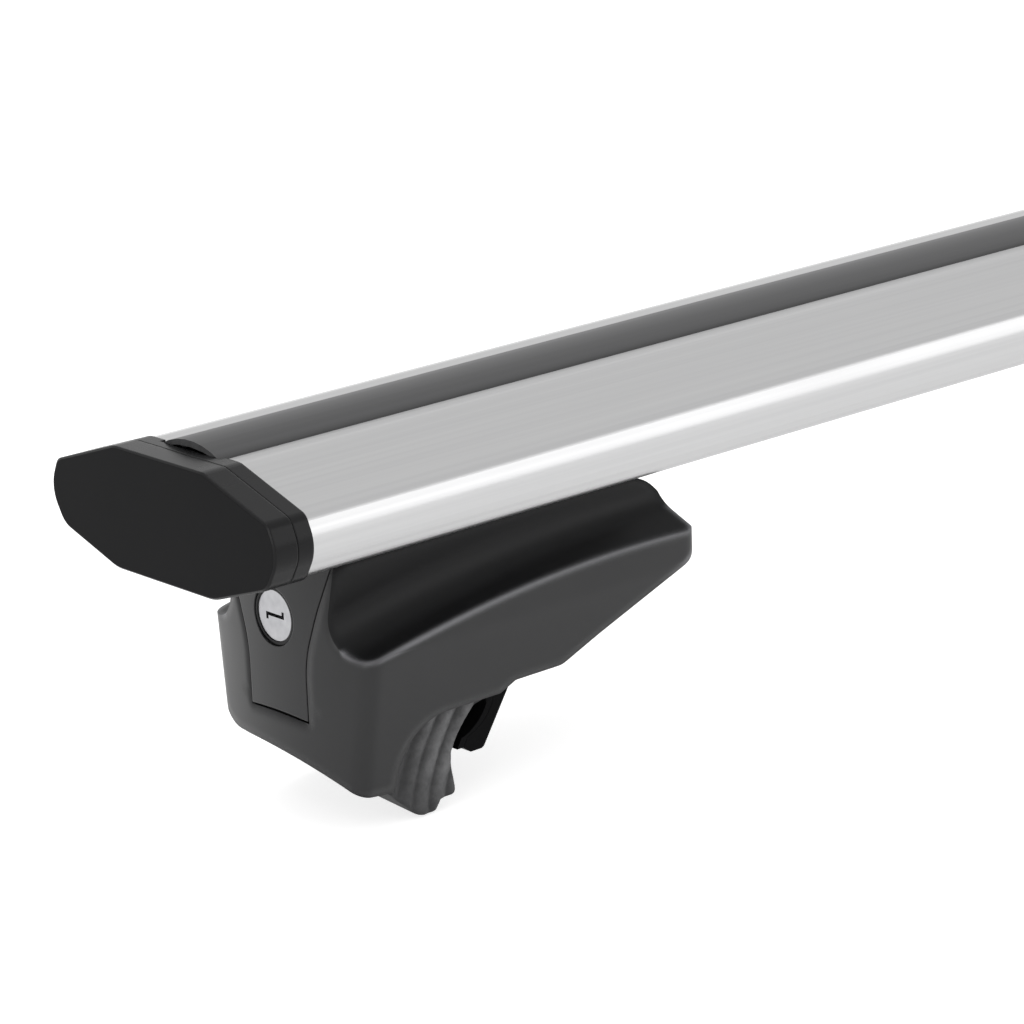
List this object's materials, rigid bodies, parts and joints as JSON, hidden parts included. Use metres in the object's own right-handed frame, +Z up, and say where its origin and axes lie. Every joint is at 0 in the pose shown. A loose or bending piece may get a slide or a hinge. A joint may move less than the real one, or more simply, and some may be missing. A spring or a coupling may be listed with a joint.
{
  "type": "roof rack crossbar",
  "caption": "Aluminium wing crossbar for raised roof rails, on clamp feet that slide along it and have a lockable door over the clamp screw.",
  "frame": {"origin": "on the ground plane, under the middle of the bar", "axes": "X along the bar, Y across it in the direction of travel, Z up"},
  "size_m": [1.2, 0.08, 0.0935],
  "materials": {
    "anodised_aluminium": "satin anodised",
    "strip_rubber": "matt extruded",
    "cap_plastic": "fine grain",
    "housing_plastic": "satin moulded",
    "pad_rubber": "matt moulded",
    "zinc_steel": "zinc plated",
    "coated_steel": "black coat",
    "black_steel": "black zinc",
    "nickel_zinc": "satin nickel"
  },
  "bodies": {
    "bar": {"crossbar_extrusion": "anodised_aluminium", "slot_strip": "strip_rubber", "left_cap_cover": "cap_plastic", "left_cap_frame": "cap_plastic", "right_cap_cover": "cap_plastic", "right_cap_frame": "cap_plastic"},
    "left_foot": {"left_housing": "housing_plastic", "left_seat_pads": "pad_rubber", "left_bracket": "zinc_steel", "left_slot_bolts": "zinc_steel", "left_slot_washers": "zinc_steel", "left_slot_nuts": "zinc_steel", "left_housing_screw": "black_steel", "left_outer_jaw": "coated_steel", "left_outer_jaw_pad": "pad_rubber", "left_hinge_pin": "zinc_steel", "left_screw_washer": "zinc_steel"},
    "left_door": {"left_lock_door": "housing_plastic", "left_lock_sleeve": "cap_plastic"},
    "left_lock": {"left_lock_barrel": "nickel_zinc", "left_lock_cam": "zinc_steel", "left_cam_screw": "zinc_steel"},
    "left_screw": {"left_clamp_screw": "zinc_steel"},
    "left_jaw": {"left_inner_jaw": "coated_steel", "left_inner_jaw_pad": "pad_rubber", "left_jaw_nut": "zinc_steel"},
    "right_foot": {"right_housing": "housing_plastic", "right_seat_pads": "pad_rubber", "right_bracket": "zinc_steel", "right_slot_bolts": "zinc_steel", "right_slot_washers": "zinc_steel", "right_slot_nuts": "zinc_steel", "right_housing_screw": "black_steel", "right_outer_jaw": "coated_steel", "right_outer_jaw_pad": "pad_rubber", "right_hinge_pin": "zinc_steel", "right_screw_washer": "zinc_steel"},
    "right_door": {"right_lock_door": "housing_plastic", "right_lock_sleeve": "cap_plastic"},
    "right_lock": {"right_lock_barrel": "nickel_zinc", "right_lock_cam": "zinc_steel", "right_cam_screw": "zinc_steel"},
    "right_screw": {"right_clamp_screw": "zinc_steel"},
    "right_jaw": {"right_inner_jaw": "coated_steel", "right_inner_jaw_pad": "pad_rubber", "right_jaw_nut": "zinc_steel"}
  },
  "joints": [
    {"name": "left_foot_slide", "type": "slide", "parent": "bar", "child": "left_foot", "axis": [1, 0, 0], "range_m": [-0.015, 0.15]},
    {"name": "left_door_hinge", "type": "hinge", "parent": "left_foot", "child": "left_door", "pos_m": [-0.5682, 0, 0.0281], "axis": [0, -1, 0], "range_deg": [0, 80]},
    {"name": "left_lock_turn", "type": "hinge", "parent": "left_door", "child": "left_lock", "pos_m": [-0.5609, 0, 0.0484], "axis": [-1, 0, 0], "range_deg": [-90, 0]},
    {"name": "left_screw_turn", "type": "hinge", "parent": "left_foot", "child": "left_screw", "pos_m": [-0.5309, 0, 0.0355], "axis": [1, 0, 0], "range_deg": [0, 8640.5]},
    {"name": "left_jaw_slide", "type": "slide", "parent": "left_foot", "child": "left_jaw", "axis": [1, 0, 0], "range_m": [0, 0.03]},
    {"name": "right_foot_slide", "type": "slide", "parent": "bar", "child": "right_foot", "axis": [-1, 0, 0], "range_m": [-0.015, 0.15]},
    {"name": "right_door_hinge", "type": "hinge", "parent": "right_foot", "child": "right_door", "pos_m": [0.5682, 0, 0.0281], "axis": [0, 1, 0], "range_deg": [0, 80]},
    {"name": "right_lock_turn", "type": "hinge", "parent": "right_door", "child": "right_lock", "pos_m": [0.5609, 0, 0.0484], "axis": [1, 0, 0], "range_deg": [-90, 0]},
    {"name": "right_screw_turn", "type": "hinge", "parent": "right_foot", "child": "right_screw", "pos_m": [0.5309, 0, 0.0355], "axis": [-1, 0, 0], "range_deg": [0, 8640.5]},
    {"name": "right_jaw_slide", "type": "slide", "parent": "right_foot", "child": "right_jaw", "axis": [-1, 0, 0], "range_m": [0, 0.03]}
  ],
  "couplings": [
    {"joint": "left_screw_turn", "follows": "left_jaw_slide", "rad_per_m": 5026.5},
    {"joint": "right_screw_turn", "follows": "right_jaw_slide", "rad_per_m": 5026.5}
  ]
}
